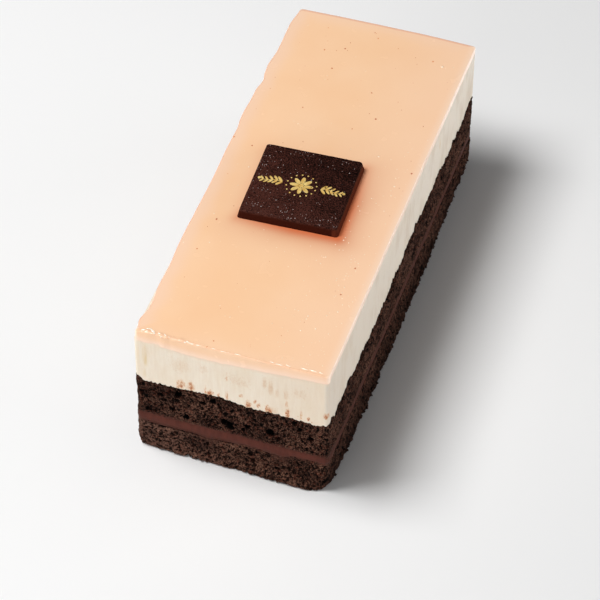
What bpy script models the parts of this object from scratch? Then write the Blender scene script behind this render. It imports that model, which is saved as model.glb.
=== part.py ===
"""A bar of chocolate cheesecake, cut from a larger sheet: two dark chocolate sponges with a thin
chocolate cream between them, a thick white cheese mousse, a peach glaze and a square chocolate
plaque. Metres, +Z up, the length along Y, the shown end at -Y, the origin under the cake's centre."""

import itertools
import math
import random

import bmesh
import bpy
from mathutils import Matrix, Vector, noise

MM = 0.001


def stops_in_mm(stops):
    """Stops along a face, each (place, value) in millimetres, as metres."""
    return [(place * MM, value * MM) for place, value in stops]


# The whole bar.
CAKE_WIDTH = 56 * MM
CAKE_LENGTH = 144 * MM
CORNER_RADIUS = 1.6 * MM
COLUMN_SPACING = 3.0 * MM
CORNER_STEPS = 3
GAP = 0.3 * MM

# Thickness of each layer, counted from the underside up; each holds the gap above it.
LOWER_SPONGE_HEIGHT = 11.2 * MM
CREAM_HEIGHT = 3.6 * MM
UPPER_SPONGE_HEIGHT = 13.3 * MM
MOUSSE_HEIGHT = 17.9 * MM
GLAZE_HEIGHT = 2.0 * MM

CREAM_LEVEL = LOWER_SPONGE_HEIGHT
UPPER_SPONGE_LEVEL = CREAM_LEVEL + CREAM_HEIGHT
MOUSSE_LEVEL = UPPER_SPONGE_LEVEL + UPPER_SPONGE_HEIGHT
GLAZE_LEVEL = MOUSSE_LEVEL + MOUSSE_HEIGHT
TOP_LEVEL = GLAZE_LEVEL + GLAZE_HEIGHT

# How far the seams between layers wander along the cut faces. They keep their height as far in as
# the lip and are flat from the seam depth on. The shown end and the +X side have their own rises and
# falls, as (place along the face, rise) stops with a smooth run between; the others only wander.
SEAM_LIP = 0.9 * MM
SEAM_DEPTH = 3.0 * MM
CREAM_WANDER = 0.35 * MM
CRUMB_WANDER = 0.75 * MM
CREAM_WAVE = 9.0 * MM
CRUMB_WAVE = 5.2 * MM
FACE_REACH = (0.2 * MM, 2.5 * MM)
FACE_WANDER_SHARE = 0.4
END_MOUSSE_SEAM = stops_in_mm([
    (-28, 1.1), (-25.6, -0.2), (-17.7, 0), (-3.7, 0.6), (6.5, -0.6), (14.9, -0.4), (25, -1.2), (28, -0.2)])
SIDE_MOUSSE_SEAM = stops_in_mm([
    (-72, -0.2), (-64, -0.6), (-45, -1.5), (-20, -2.3), (-10, -0.8), (10, 0.2), (32, 0.2), (44, -0.9),
    (60, -0.9), (72, 0.2)])
END_CREAM_FLOOR = stops_in_mm([
    (-28, 0.1), (-11, -0.2), (-7, -0.6), (-2, 0), (10, -0.1), (14.5, -0.9), (19, 0.3), (28, 0.5)])
END_CREAM_ROOF = stops_in_mm([(-28, -0.2), (-14, -0.4), (0, -0.2), (14, -0.5), (28, -0.3)])

# The cut faces of the layers: how far they bulge and dip, over what distance.
CRAG_RELIEF = 0.45 * MM
CRAG_SIZE = 3.0 * MM
SMOOTH_RELIEF = 0.12 * MM
SMOOTH_SIZE = 14.0 * MM
FOOT_BEVEL = 1.3 * MM
FOOT_CRUMB = 0.8 * MM
# The sponges stand a little out of line with the mousse, by as much on both long sides.
SPONGE_BULGE = 0.45 * MM

# Air holes that the knife opened in the sponge: the large ones of the shown end, as place across,
# height and width, and scattered smaller ones on the other faces, one to a cell of the face at most.
END_PORES = [
    (-15.9 * MM, 25.3 * MM, 2.0 * MM), (-5.6 * MM, 26.0 * MM, 1.7 * MM), (-1.4 * MM, 18.8 * MM, 3.2 * MM),
    (4.7 * MM, 19.5 * MM, 1.9 * MM), (11.2 * MM, 19.5 * MM, 2.3 * MM), (23.3 * MM, 20.9 * MM, 1.7 * MM),
    (-13.5 * MM, 17.0 * MM, 1.9 * MM), (20.1 * MM, 23.7 * MM, 1.4 * MM),
    (-7.5 * MM, 7.6 * MM, 1.5 * MM), (6.1 * MM, 5.5 * MM, 1.5 * MM), (17.0 * MM, 6.4 * MM, 1.7 * MM),
]
PORE_CELL = 6.0 * MM
PORE_WIDTH_RANGE = (1.3 * MM, 2.6 * MM)
PORE_SQUASH_RANGE = (0.5, 0.85)
PORE_SHARE = 0.5
PORE_KEEP = 3.0 * MM

# The glaze runs down over the shown end and rolls over at its edges.
GLAZE_RUN = stops_in_mm([
    (-28, 1.7), (-25, 2.1), (-10, 3.0), (-4, 2.9), (1, 2.6), (9, 2.0), (17, 1.5), (26, 0.9), (28, 0.7)])
RUN_REACH = (0.6 * MM, 2.4 * MM)
GLAZE_ROLL = 1.0 * MM
GLAZE_SWELL = 0.5 * MM
GLAZE_WAVE = 17.0 * MM

# The moulded chocolate plaque.
PLAQUE_SIDE = 29.3 * MM
PLAQUE_HEIGHT = 2.8 * MM
PLAQUE_DRAFT = 0.5 * MM
PLAQUE_CORNER = 1.1 * MM
PLAQUE_EDGE = 0.3 * MM
PLAQUE_PLACE = (-1.8 * MM, -5.9 * MM)
PLAQUE_TURN = math.radians(2.6)

# Linear colour, roughness.
SPONGE_FINISH = ((0.042, 0.019, 0.013), 0.9)
CREAM_FINISH = ((0.088, 0.034, 0.026), 0.55)
MOUSSE_FINISH = ((0.82, 0.72, 0.60), 0.6)
GLAZE_FINISH = ((0.95, 0.60, 0.37), 0.18)
PLAQUE_FINISH = ((0.048, 0.016, 0.012), 0.35)


def cake_outline():
    """The bar's plan as points round a rectangle with rounded corners, anticlockwise from above."""
    centre_x = CAKE_WIDTH / 2 - CORNER_RADIUS
    centre_y = CAKE_LENGTH / 2 - CORNER_RADIUS
    corners = [(-centre_x, -centre_y), (centre_x, -centre_y), (centre_x, centre_y), (-centre_x, centre_y)]
    points = []
    for number, corner in enumerate(corners):
        start = math.radians(180 + 90 * number)
        for step in range(CORNER_STEPS + 1):
            angle = start + math.radians(90) * step / CORNER_STEPS
            points.append(Vector(corner) + CORNER_RADIUS * Vector((math.cos(angle), math.sin(angle))))
        following = Vector(corners[(number + 1) % len(corners)])
        along = following - Vector(corner)
        count = round(along.length / COLUMN_SPACING)
        leaving = points[-1].copy()
        points += [leaving + along * step / count for step in range(1, count)]
    return points


def ease(low, high, value):
    """0 up to low, 1 from high on, and a smooth step between."""
    share = max(0.0, min(1.0, (value - low) / (high - low)))
    return share * share * (3 - 2 * share)


def rise_at(stops, place):
    """The smooth value between the two stops on either side of a place along a face."""
    if place <= stops[0][0]:
        return stops[0][1]
    for (start, start_rise), (end, end_rise) in itertools.pairwise(stops):
        if place <= end:
            return start_rise + (end_rise - start_rise) * ease(start, end, place)
    return stops[-1][1]


def wander(point, depth, wave, seed):
    """A smooth rise or fall of up to about depth at a point, the same for every layer that asks."""
    return depth * noise.noise(Vector((point.x / wave, point.y / wave, seed)))


def on_end(point):
    """1 on the shown end and 0 away from it."""
    return 1 - ease(*FACE_REACH, point.y + CAKE_LENGTH / 2)


def on_side(point):
    """1 on the +X side and 0 away from it, with the corner left to the shown end."""
    return (1 - ease(*FACE_REACH, CAKE_WIDTH / 2 - point.x)) * (1 - on_end(point))


def run_down(point):
    """How far the glaze has run down at this point: only over the shown end."""
    return rise_at(GLAZE_RUN, point.x) * (1 - ease(*RUN_REACH, point.y + CAKE_LENGTH / 2))


def lower_cream_seam(point):
    end = on_end(point)
    own_rise = end * rise_at(END_CREAM_FLOOR, point.x)
    return CREAM_LEVEL + own_rise + (1 - end) * wander(point, CREAM_WANDER, CREAM_WAVE, 1.3)


def upper_cream_seam(point):
    end = on_end(point)
    own_rise = end * rise_at(END_CREAM_ROOF, point.x)
    return UPPER_SPONGE_LEVEL + own_rise + (1 - end) * wander(point, CREAM_WANDER, CREAM_WAVE, 7.7)


def mousse_seam(point):
    end, side = on_end(point), on_side(point)
    own_rise = end * rise_at(END_MOUSSE_SEAM, point.x) + side * rise_at(SIDE_MOUSSE_SEAM, point.y)
    free = 1 - (1 - FACE_WANDER_SHARE) * max(end, side)
    return MOUSSE_LEVEL + own_rise + free * wander(point, CRUMB_WANDER, CRUMB_WAVE, 4.1)


def glaze_seam(point):
    return GLAZE_LEVEL - run_down(point)


def crags(point):
    """Bulges and dips of a torn crumb, on faces that stand out at the long sides."""
    small = noise.noise(point / CRAG_SIZE)
    fine = noise.noise(point * (2.3 / CRAG_SIZE))
    long_side = 1 - ease(*FACE_REACH, CAKE_WIDTH / 2 - abs(point.x))
    return CRAG_RELIEF * (small + 0.5 * fine) + SPONGE_BULGE * long_side


def foot_crags(point):
    """As crags, with crumbs that hang out at the foot of the long +X side."""
    near_foot = max(0.0, 1 - point.z / (3 * MM))
    on_side = 1.0 if point.x > CAKE_WIDTH / 2 - 2 * FOOT_BEVEL else 0.3
    crumb = max(0.0, noise.noise(Vector((1.0, point.y / (2 * MM), 9.0))))
    return crags(point) + FOOT_CRUMB * near_foot * on_side * crumb


def soft_dips(point):
    """The slight unevenness of a face cut with a hot knife."""
    return SMOOTH_RELIEF * noise.noise(point / SMOOTH_SIZE)


def glaze_swell(point):
    """The glaze's edge swells and shrinks most along the -X side."""
    share = 1.0 if point.x < -CAKE_WIDTH / 4 else 0.3
    return GLAZE_SWELL * share * noise.noise(Vector((0.5, point.y / GLAZE_WAVE, point.x / GLAZE_WAVE)))


def ring_points(outline, inset, height, relief):
    """One ring of a layer: the outline drawn in by inset, at the height and pushed out by the relief."""
    shrink_x = 1 - 2 * inset / CAKE_WIDTH
    shrink_y = 1 - 2 * inset / CAKE_LENGTH
    ring = []
    for plan in outline:
        level = height(Vector((plan.x, plan.y, 0)))
        point = Vector((plan.x * shrink_x, plan.y * shrink_y, level))
        if relief:
            inner_x = max(-1, min(1, plan.x / (CAKE_WIDTH / 2 - 2 * CORNER_RADIUS)))
            inner_y = max(-1, min(1, plan.y / (CAKE_LENGTH / 2 - 2 * CORNER_RADIUS)))
            outward = Vector((inner_x if abs(inner_x) == 1 else 0, inner_y if abs(inner_y) == 1 else 0, 0))
            point += relief(point) * outward.normalized()
        ring.append(point)
    return ring


def layer_mesh(rings):
    """A closed mesh through the rings, drawn up from the first, whose flat inside is the underside.

    Its quads are split along their shorter diagonal, so that two layers split alike where they meet."""
    mesh = bmesh.new()
    bmesh.ops.create_circle(mesh, cap_ends=True, segments=len(rings[0]), radius=1)
    mesh.faces.ensure_lookup_table()
    top = mesh.faces[0]
    for vert, place in zip(top.verts, rings[0]):
        vert.co = place
    for ring in rings[1:]:
        made = bmesh.ops.extrude_face_region(mesh, geom=[top, *top.edges, *top.verts])["geom"]
        top = next(item for item in made if isinstance(item, bmesh.types.BMFace))
        for vert, place in zip(top.verts, ring):
            vert.co = place
    bmesh.ops.recalc_face_normals(mesh, faces=mesh.faces)
    quads = [face for face in mesh.faces if len(face.verts) == 4]
    bmesh.ops.triangulate(mesh, faces=quads, quad_method="SHORT_EDGE")
    return mesh


def layer_rings(outline, low, high, rows, relief, foot=0.0):
    """Rings from the flat inside of the underside, out to the cut face, up it and in again.

    low and high give the layer's seams at a point; foot rounds the lower edge."""
    def between(share):
        return lambda point: low(point) + share * (high(point) - low(point))

    flat_low = low(Vector((0, 0, 0)))
    flat_high = high(Vector((0, 0, 0)))
    rings = [ring_points(outline, SEAM_DEPTH, lambda point: flat_low, None)]
    if not foot:
        rings.append(ring_points(outline, SEAM_LIP, between(0), None))
    if foot:
        rings.append(ring_points(outline, foot, between(0), relief))
        rings.append(ring_points(outline, foot / 4, lambda point: low(point) + 0.6 * foot, relief))
    else:
        rings.append(ring_points(outline, 0, between(0), relief))
    for row in range(1, rows + 1):
        rings.append(ring_points(outline, 0, between(row / rows), relief))
    rings.append(ring_points(outline, SEAM_LIP, between(1), None))
    rings.append(ring_points(outline, SEAM_DEPTH, lambda point: flat_high, None))
    return rings


def below(seam):
    """The top of the layer under a seam."""
    return lambda point: seam(point) - GAP / 2


def above(seam):
    """The underside of the layer over a seam."""
    return lambda point: seam(point) + GAP / 2


def flat_seam(level):
    return lambda point: level


def add_pore(mesh, place, width, squash):
    """A flattened ball, centred on the face it opens."""
    radius = width / 2
    shape = Matrix.Translation(place) @ Matrix.Diagonal((radius, radius, radius * squash, 1))
    bmesh.ops.create_icosphere(mesh, subdivisions=1, radius=1, matrix=shape)


def end_pores(mesh, low, high):
    for across, height, width in END_PORES:
        if low < height < high:
            add_pore(mesh, Vector((across, -CAKE_LENGTH / 2, height)), width, 0.75)


def side_pores(mesh, low, high, seed):
    """Walks the two long faces and the far end in cells and opens a pore in some of them."""
    pick = random.Random(seed)
    half_width, half_length = CAKE_WIDTH / 2, CAKE_LENGTH / 2
    long_side = half_width + SPONGE_BULGE
    faces = [
        (Vector((long_side, -half_length, 0)), Vector((0, 1, 0)), CAKE_LENGTH),
        (Vector((half_width, half_length, 0)), Vector((-1, 0, 0)), CAKE_WIDTH),
        (Vector((-long_side, half_length, 0)), Vector((0, -1, 0)), CAKE_LENGTH),
    ]
    rows = max(1, round((high - low) / PORE_CELL))
    for corner, along, length in faces:
        cells = round((length - 2 * PORE_KEEP) / PORE_CELL)
        for cell, row in itertools.product(range(cells), range(rows)):
            width = pick.uniform(*PORE_WIDTH_RANGE)
            squash = pick.uniform(*PORE_SQUASH_RANGE)
            across = PORE_KEEP + (cell + pick.uniform(0.3, 0.7)) * PORE_CELL
            height = low + (row + pick.uniform(0.3, 0.7)) * (high - low) / rows
            if pick.random() < PORE_SHARE:
                add_pore(mesh, corner + across * along + Vector((0, 0, height)), width, squash)


def cut_pores(sponge, low, high, seed, cutters):
    """Opens the pores that lie between two heights of the sponge."""
    mesh = bmesh.new()
    end_pores(mesh, low, high)
    side_pores(mesh, low, high, seed)
    cutter = add_piece(f"{sponge.name}_pores", mesh, SPONGE_FINISH, cutters)
    cutter.hide_render = True
    cutter.display_type = "WIRE"
    cut = sponge.modifiers.new("pores", "BOOLEAN")
    cut.operation = "DIFFERENCE"
    cut.solver = "EXACT"
    cut.object = cutter


def plaque_mesh():
    """A moulded square tablet: wider at its base, with rounded corners and a softened top edge."""
    mesh = bmesh.new()
    bmesh.ops.create_cube(mesh, size=1)
    bmesh.ops.scale(mesh, vec=(PLAQUE_SIDE, PLAQUE_SIDE, PLAQUE_HEIGHT), verts=mesh.verts)
    bmesh.ops.translate(mesh, vec=(0, 0, PLAQUE_HEIGHT / 2), verts=mesh.verts)
    top = [vert for vert in mesh.verts if vert.co.z > PLAQUE_HEIGHT / 2]
    taper = 1 - 2 * PLAQUE_DRAFT / PLAQUE_SIDE
    bmesh.ops.scale(mesh, vec=(taper, taper, 1), verts=top)
    upright = [
        edge for edge in mesh.edges if abs(edge.verts[0].co.z - edge.verts[1].co.z) > PLAQUE_HEIGHT / 2]
    bmesh.ops.bevel(
        mesh, geom=upright, offset=PLAQUE_CORNER, offset_type="OFFSET", segments=5, profile=0.5,
        affect="EDGES", material=-1)
    rim = [edge for edge in mesh.edges if min(vert.co.z for vert in edge.verts) > 0.99 * PLAQUE_HEIGHT]
    bmesh.ops.bevel(
        mesh, geom=rim, offset=PLAQUE_EDGE, offset_type="OFFSET", segments=2, profile=0.5,
        affect="EDGES", material=-1)
    return mesh


def finish_material(name, finish):
    colour, roughness = finish
    material = bpy.data.materials.new(name)
    material.use_nodes = True
    shader = material.node_tree.nodes["Principled BSDF"]
    shader.inputs["Base Color"].default_value = (*colour, 1)
    shader.inputs["Roughness"].default_value = roughness
    shader.inputs["Metallic"].default_value = 0
    material.diffuse_color = (*colour, 1)
    return material


def add_piece(name, mesh, finish, collection, smooth_angle=math.radians(40)):
    data = bpy.data.meshes.new(name)
    mesh.to_mesh(data)
    mesh.free()
    data.materials.append(finish_material(name, finish))
    data.shade_smooth()
    data.set_sharp_from_angle(angle=smooth_angle)
    piece = bpy.data.objects.new(name, data)
    collection.objects.link(piece)
    return piece


def add_lower_sponge(outline, collection, cutters):
    rings = layer_rings(
        outline, flat_seam(0), below(lower_cream_seam), rows=4, relief=foot_crags, foot=FOOT_BEVEL)
    sponge = add_piece("lower_sponge", layer_mesh(rings), SPONGE_FINISH, collection)
    cut_pores(sponge, PORE_KEEP, CREAM_LEVEL - PORE_KEEP / 2, seed=11, cutters=cutters)


def add_upper_sponge(outline, collection, cutters):
    rings = layer_rings(outline, above(upper_cream_seam), below(mousse_seam), rows=5, relief=crags)
    sponge = add_piece("upper_sponge", layer_mesh(rings), SPONGE_FINISH, collection)
    low = UPPER_SPONGE_LEVEL + PORE_KEEP / 2
    cut_pores(sponge, low, MOUSSE_LEVEL - PORE_KEEP / 2, seed=23, cutters=cutters)


def add_cream(outline, collection):
    rings = layer_rings(outline, above(lower_cream_seam), below(upper_cream_seam), rows=1, relief=soft_dips)
    add_piece("chocolate_cream", layer_mesh(rings), CREAM_FINISH, collection)


def add_mousse(outline, collection):
    rings = layer_rings(outline, above(mousse_seam), below(glaze_seam), rows=2, relief=soft_dips)
    add_piece("cheese_mousse", layer_mesh(rings), MOUSSE_FINISH, collection)


def add_glaze(outline, collection):
    """A skin that is thin over the top, rolls over at the edges and runs down the shown end."""
    under = above(glaze_seam)
    side = TOP_LEVEL - GLAZE_ROLL
    rings = [
        ring_points(outline, SEAM_DEPTH, lambda point: GLAZE_LEVEL + GAP / 2, None),
        ring_points(outline, SEAM_LIP, under, None),
        ring_points(outline, 0, under, glaze_swell),
        ring_points(outline, 0, lambda point: side, glaze_swell),
        ring_points(outline, 0.3 * GLAZE_ROLL, lambda point: TOP_LEVEL - 0.3 * GLAZE_ROLL, glaze_swell),
        ring_points(outline, GLAZE_ROLL, lambda point: TOP_LEVEL, glaze_swell),
    ]
    add_piece("peach_glaze", layer_mesh(rings), GLAZE_FINISH, collection)


def add_plaque(collection):
    plaque = add_piece("chocolate_plaque", plaque_mesh(), PLAQUE_FINISH, collection)
    plaque.location = (*PLAQUE_PLACE, TOP_LEVEL + GAP)
    plaque.rotation_euler.z = PLAQUE_TURN


def clear_scene():
    for item in list(bpy.data.objects):
        bpy.data.objects.remove(item)


def main():
    clear_scene()
    collection = bpy.data.collections.new("chocolate_cheesecake")
    bpy.context.scene.collection.children.link(collection)
    cutters = bpy.data.collections.new("cutters")
    bpy.context.scene.collection.children.link(cutters)
    outline = cake_outline()
    add_lower_sponge(outline, collection, cutters)
    add_upper_sponge(outline, collection, cutters)
    add_cream(outline, collection)
    add_mousse(outline, collection)
    add_glaze(outline, collection)
    add_plaque(collection)


main()
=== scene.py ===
import math
import random

import bmesh
import bpy
from mathutils import Matrix, Vector, noise


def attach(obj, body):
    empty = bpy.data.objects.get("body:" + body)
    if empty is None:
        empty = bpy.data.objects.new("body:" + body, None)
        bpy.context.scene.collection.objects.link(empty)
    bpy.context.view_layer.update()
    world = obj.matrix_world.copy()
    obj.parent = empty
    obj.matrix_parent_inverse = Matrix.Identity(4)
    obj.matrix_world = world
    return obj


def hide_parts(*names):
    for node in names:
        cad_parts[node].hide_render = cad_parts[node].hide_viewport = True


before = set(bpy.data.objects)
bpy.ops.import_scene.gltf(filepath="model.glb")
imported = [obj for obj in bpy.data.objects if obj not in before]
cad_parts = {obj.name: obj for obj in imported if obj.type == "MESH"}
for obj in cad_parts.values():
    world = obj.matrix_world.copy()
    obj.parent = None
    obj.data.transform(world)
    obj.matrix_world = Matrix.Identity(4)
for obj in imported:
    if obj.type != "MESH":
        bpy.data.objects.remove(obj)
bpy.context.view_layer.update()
noise.seed_set(4)   # noise_vector would start from the clock without it

# the bar in millimetres, as the frame has it: shown end at -Y, length along Y, underside at 0
cake = {
    "width": 56, "length": 144,
    "creamLevel": 11.2, "upperLevel": 14.8, "mousseLevel": 28.1, "glazeLevel": 46.0, "topLevel": 48.0,
    # how far a layer's flat floor and roof stay inside its cut walls
    "wallDepth": 3,
    # how far from a cut face its seams start to lose its own shape, and have lost it
    "cornerTurn": (0.2, 2.5),
    # from and to where, across, the left side comes out of line
    "leftTurn": (-20, -28),
}
halfWidth = cake["width"] / 2
halfLength = cake["length"] / 2


def blendStep(low, high, value):
    # 0 below low, 1 above high, smooth between
    share = max(0.0, min(1.0, (value - low) / (high - low)))
    return share * share * (3 - 2 * share)


def along(stops, value):
    # smooth value between the nearest two of some (place, value) stops
    if value <= stops[0][0]:
        return stops[0][1]
    for (startPlace, startValue), (endPlace, endValue) in zip(stops, stops[1:]):
        if value <= endPlace:
            return startValue + (endValue - startValue) * blendStep(startPlace, endPlace, value)
    return stops[-1][1]


def noiseAt(x, y, z):
    return noise.noise(Vector((x, y, z)))


def roundedLine(halfX, halfY, radius, step):
    # points round a rounded rectangle, anticlockwise from its front left: (place, way out)
    turns = max(3, round(radius * math.pi / 2 / step))
    points = []
    for number, (signX, signY) in enumerate([(-1, -1), (1, -1), (1, 1), (-1, 1)]):
        centre = Vector((signX * (halfX - radius), signY * (halfY - radius), 0))
        for turn in range(turns + 1):
            angle = math.radians(180 + 90 * number + 90 * turn / turns)
            out = Vector((math.cos(angle), math.sin(angle), 0))
            points.append((centre + radius * out, out))
        straight = 2 * ((halfX if number % 2 == 0 else halfY) - radius)
        count = round(straight / step)
        start, out = points[-1]
        onward = Vector((-out.y, out.x, 0)) * straight / count
        points += [(start + onward * index, out) for index in range(1, count)]
    return points


def cutLine(layer):
    # a layer's cut sides seen from above; its left side stands out of line by leftSpread
    line = roundedLine(halfWidth, halfLength, layer["corner"], layer["grid"])
    spread = layer.get("leftSpread", 0.0)
    return [(Vector((place.x - spread * blendStep(*cake["leftTurn"], place.x), place.y, place.z)), out)
            for place, out in line]


def drawnIn(place, inset):
    # a point of the plan moved towards the middle, as a ring further in
    return Vector((place.x * (1 - inset / halfWidth), place.y * (1 - inset / halfLength), place.z))


def sideShares(out):
    # how much a way out belongs to the shown end, the right side, the far end and the left side
    return max(0.0, -out.y) ** 2, max(0.0, out.x) ** 2, max(0.0, out.y) ** 2, max(0.0, -out.x) ** 2


def stackRings(rings, marks=None):
    # a closed body through rings of equal length, the first and last capped
    # marks holds, for each name, a number for every point of every ring, which a material reads
    body = bmesh.new()
    layers = {name: body.verts.layers.float.new(name) for name in marks or {}}
    bmesh.ops.create_circle(body, cap_ends=True, segments=len(rings[0]), radius=1)
    body.faces.ensure_lookup_table()
    lid = body.faces[0]
    for number, ring in enumerate(rings):
        if number:
            made = bmesh.ops.extrude_face_region(body, geom=[lid, *lid.edges, *lid.verts])["geom"]
            lid = next(item for item in made if isinstance(item, bmesh.types.BMFace))
        for index, (vert, place) in enumerate(zip(lid.verts, ring)):
            vert.co = place
            for name, layer in layers.items():
                vert[layer] = marks[name][number][index]
    bmesh.ops.recalc_face_normals(body, faces=body.faces)
    return body


def layerBody(columns, rows, wall, floor, roof=None):
    # wall gives a point of the cut and its marks, for a row and a column; floor and roof are flat and further in
    rings, marks = [], {}
    for row in rows:
        made = [wall(row, number, place, out) for number, (place, out) in enumerate(columns)]
        rings.append([spot for spot, values in made])
        for name in made[0][1]:
            marks.setdefault(name, []).append([values[name] for spot, values in made])
    inner = [drawnIn(place, cake["wallDepth"]) for place, out in columns]
    lids = [[[Vector((spot.x, spot.y, level)) for spot in inner]] for level in (floor, roof) if level is not None]
    bare = [[0.0] * len(columns)]
    last = len(lids) - 1   # 0 where the walls themselves close the top
    marks = {name: bare + values + bare * last for name, values in marks.items()}
    return stackRings(lids[0] + rings + (lids[1] if last else []), marks)


def addGrain(body, detail, radius, stretch, centre):
    # a small round body, such as a bubble
    made = bmesh.ops.create_icosphere(body, subdivisions=detail, radius=radius)["verts"]
    bmesh.ops.scale(body, vec=stretch, verts=made)
    bmesh.ops.translate(body, vec=centre, verts=made)


def inScene(name, data):
    thing = bpy.data.objects.new(name, data)
    bpy.context.scene.collection.objects.link(thing)
    return thing


def meshOf(name, body, material):
    mesh = bpy.data.meshes.new(name)
    body.to_mesh(mesh)
    body.free()
    mesh.materials.append(material)
    return mesh


def keepPiece(name, body, material, nodes=(), sharpAngle=None):
    # turns a bmesh in millimetres into a finished piece of the cake
    bmesh.ops.scale(body, vec=(0.001, 0.001, 0.001), verts=body.verts)
    mesh = meshOf(name, body, material)
    mesh.shade_smooth()
    if sharpAngle:
        mesh.set_sharp_from_angle(angle=math.radians(sharpAngle))
    piece = inScene(name, mesh)
    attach(piece, "root")
    if nodes:
        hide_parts(*nodes)
    mesh.calc_loop_triangles()
    print(name, len(mesh.loop_triangles), "triangles")


class Signal:
    # a material's socket: sums and products on it add Math nodes
    def __init__(self, shader, socket):
        self.shader = shader
        self.socket = socket

    def math(self, operation, first, second=0.0, clamp=False):
        return self.shader.add(
            "ShaderNodeMath", {"operation": operation, "use_clamp": clamp}, {0: first, 1: second})

    def __add__(self, other):
        return self.math("ADD", self, other)

    def __radd__(self, other):
        return self.math("ADD", other, self)

    def __sub__(self, other):
        return self.math("SUBTRACT", self, other)

    def __rsub__(self, other):
        return self.math("SUBTRACT", other, self)

    def __mul__(self, other):
        return self.math("MULTIPLY", self, other)

    def __rmul__(self, other):
        return self.math("MULTIPLY", other, self)

    def held(self):
        return self.math("ADD", self, 0.0, clamp=True)


class Finish:
    # one material: its nodes come from add, its Principled shader from dress
    def __init__(self, name):
        self.material = bpy.data.materials.new(name)
        self.material.use_nodes = True
        self.tree = self.material.node_tree
        self.shader = self.tree.nodes["Principled BSDF"]
        self.place = self.add("ShaderNodeTexCoord", output="Object")

    def add(self, kind, settings=None, inputs=None, output=0):
        node = self.tree.nodes.new(kind)
        for key, value in (settings or {}).items():
            setattr(node, key, value)
        for key, value in (inputs or {}).items():
            if isinstance(value, Signal):
                self.tree.links.new(value.socket, node.inputs[key])
            else:
                node.inputs[key].default_value = value
        return Signal(self, node.outputs[output])

    def noise(self, size, detail=3, rough=0.55, stretch=(1, 1, 1), shift=(0, 0, 0)):
        # size is the pattern's grain in millimetres
        place = self.add("ShaderNodeMapping", inputs={"Vector": self.place, "Location": shift, "Scale": stretch})
        return self.add("ShaderNodeTexNoise", inputs={
            "Vector": place, "Scale": 1000 / size, "Detail": detail, "Roughness": rough}, output="Fac")

    def cells(self, size, shift):
        place = self.add("ShaderNodeMapping", inputs={"Vector": self.place, "Location": shift})
        return self.add("ShaderNodeTexVoronoi", inputs={"Vector": place, "Scale": 1000 / size}, output="Distance")

    def part(self, number, place=None):
        # how far along X, Y or Z
        return self.add("ShaderNodeSeparateXYZ", inputs={0: place or self.place}, output=number)

    def mark(self, name):
        return self.add("ShaderNodeAttribute", {"attribute_name": name}, output="Fac")

    def span(self, value, low, high, newLow=0.0, newHigh=1.0):
        return self.add("ShaderNodeMapRange", inputs={
            "Value": value, "From Min": low, "From Max": high, "To Min": newLow, "To Max": newHigh}, output="Result")

    def mix(self, factor, first, second):
        # each colour is a node's, or as a screen shows it, 0 to 255
        colours = [colour if isinstance(colour, Signal) else lightOf(colour) for colour in (first, second)]
        return self.add("ShaderNodeMix", {"data_type": "RGBA"}, {0: factor, 6: colours[0], 7: colours[1]}, output=2)

    def fade(self, value, low, high, first, second):
        # from the first colour to the second while value goes from low to high
        return self.mix(self.span(value, low, high), first, second)

    def coats(self, colour, *coats):
        # a colour with others laid over it in turn, each (factor, colour)
        for factor, tint in coats:
            colour = self.mix(factor, colour, tint)
        return colour

    def bump(self, height, depth):
        # depth in millimetres is how far a height of 1 stands out
        return self.add("ShaderNodeBump", inputs={"Height": height, "Distance": depth * 0.001}, output="Normal")

    def dress(self, links, constants):
        for name, signal in links.items():
            self.tree.links.new(signal.socket, self.shader.inputs[name])
        for name, value in constants.items():
            self.shader.inputs[name].default_value = value
        return self.material


def lightOf(colour):
    # the light that a screen's colour stands for
    light = (part / 3294.6 if part <= 10.31 else ((part / 255 + 0.055) / 1.055) ** 2.4 for part in colour)
    return (*light, 1)


def grainedFinish(name, grain, first, second, rough, constants, sharpness=(0.3, 0.7)):
    # a plain finish that goes from one colour to another with its grain
    finish = Finish(name)
    shade = finish.noise(grain, detail=2)
    return finish.dress(
        {"Base Color": finish.fade(shade, *sharpness, first, second),
         "Roughness": finish.span(shade, 0.3, 0.7, *rough)}, constants)


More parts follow.
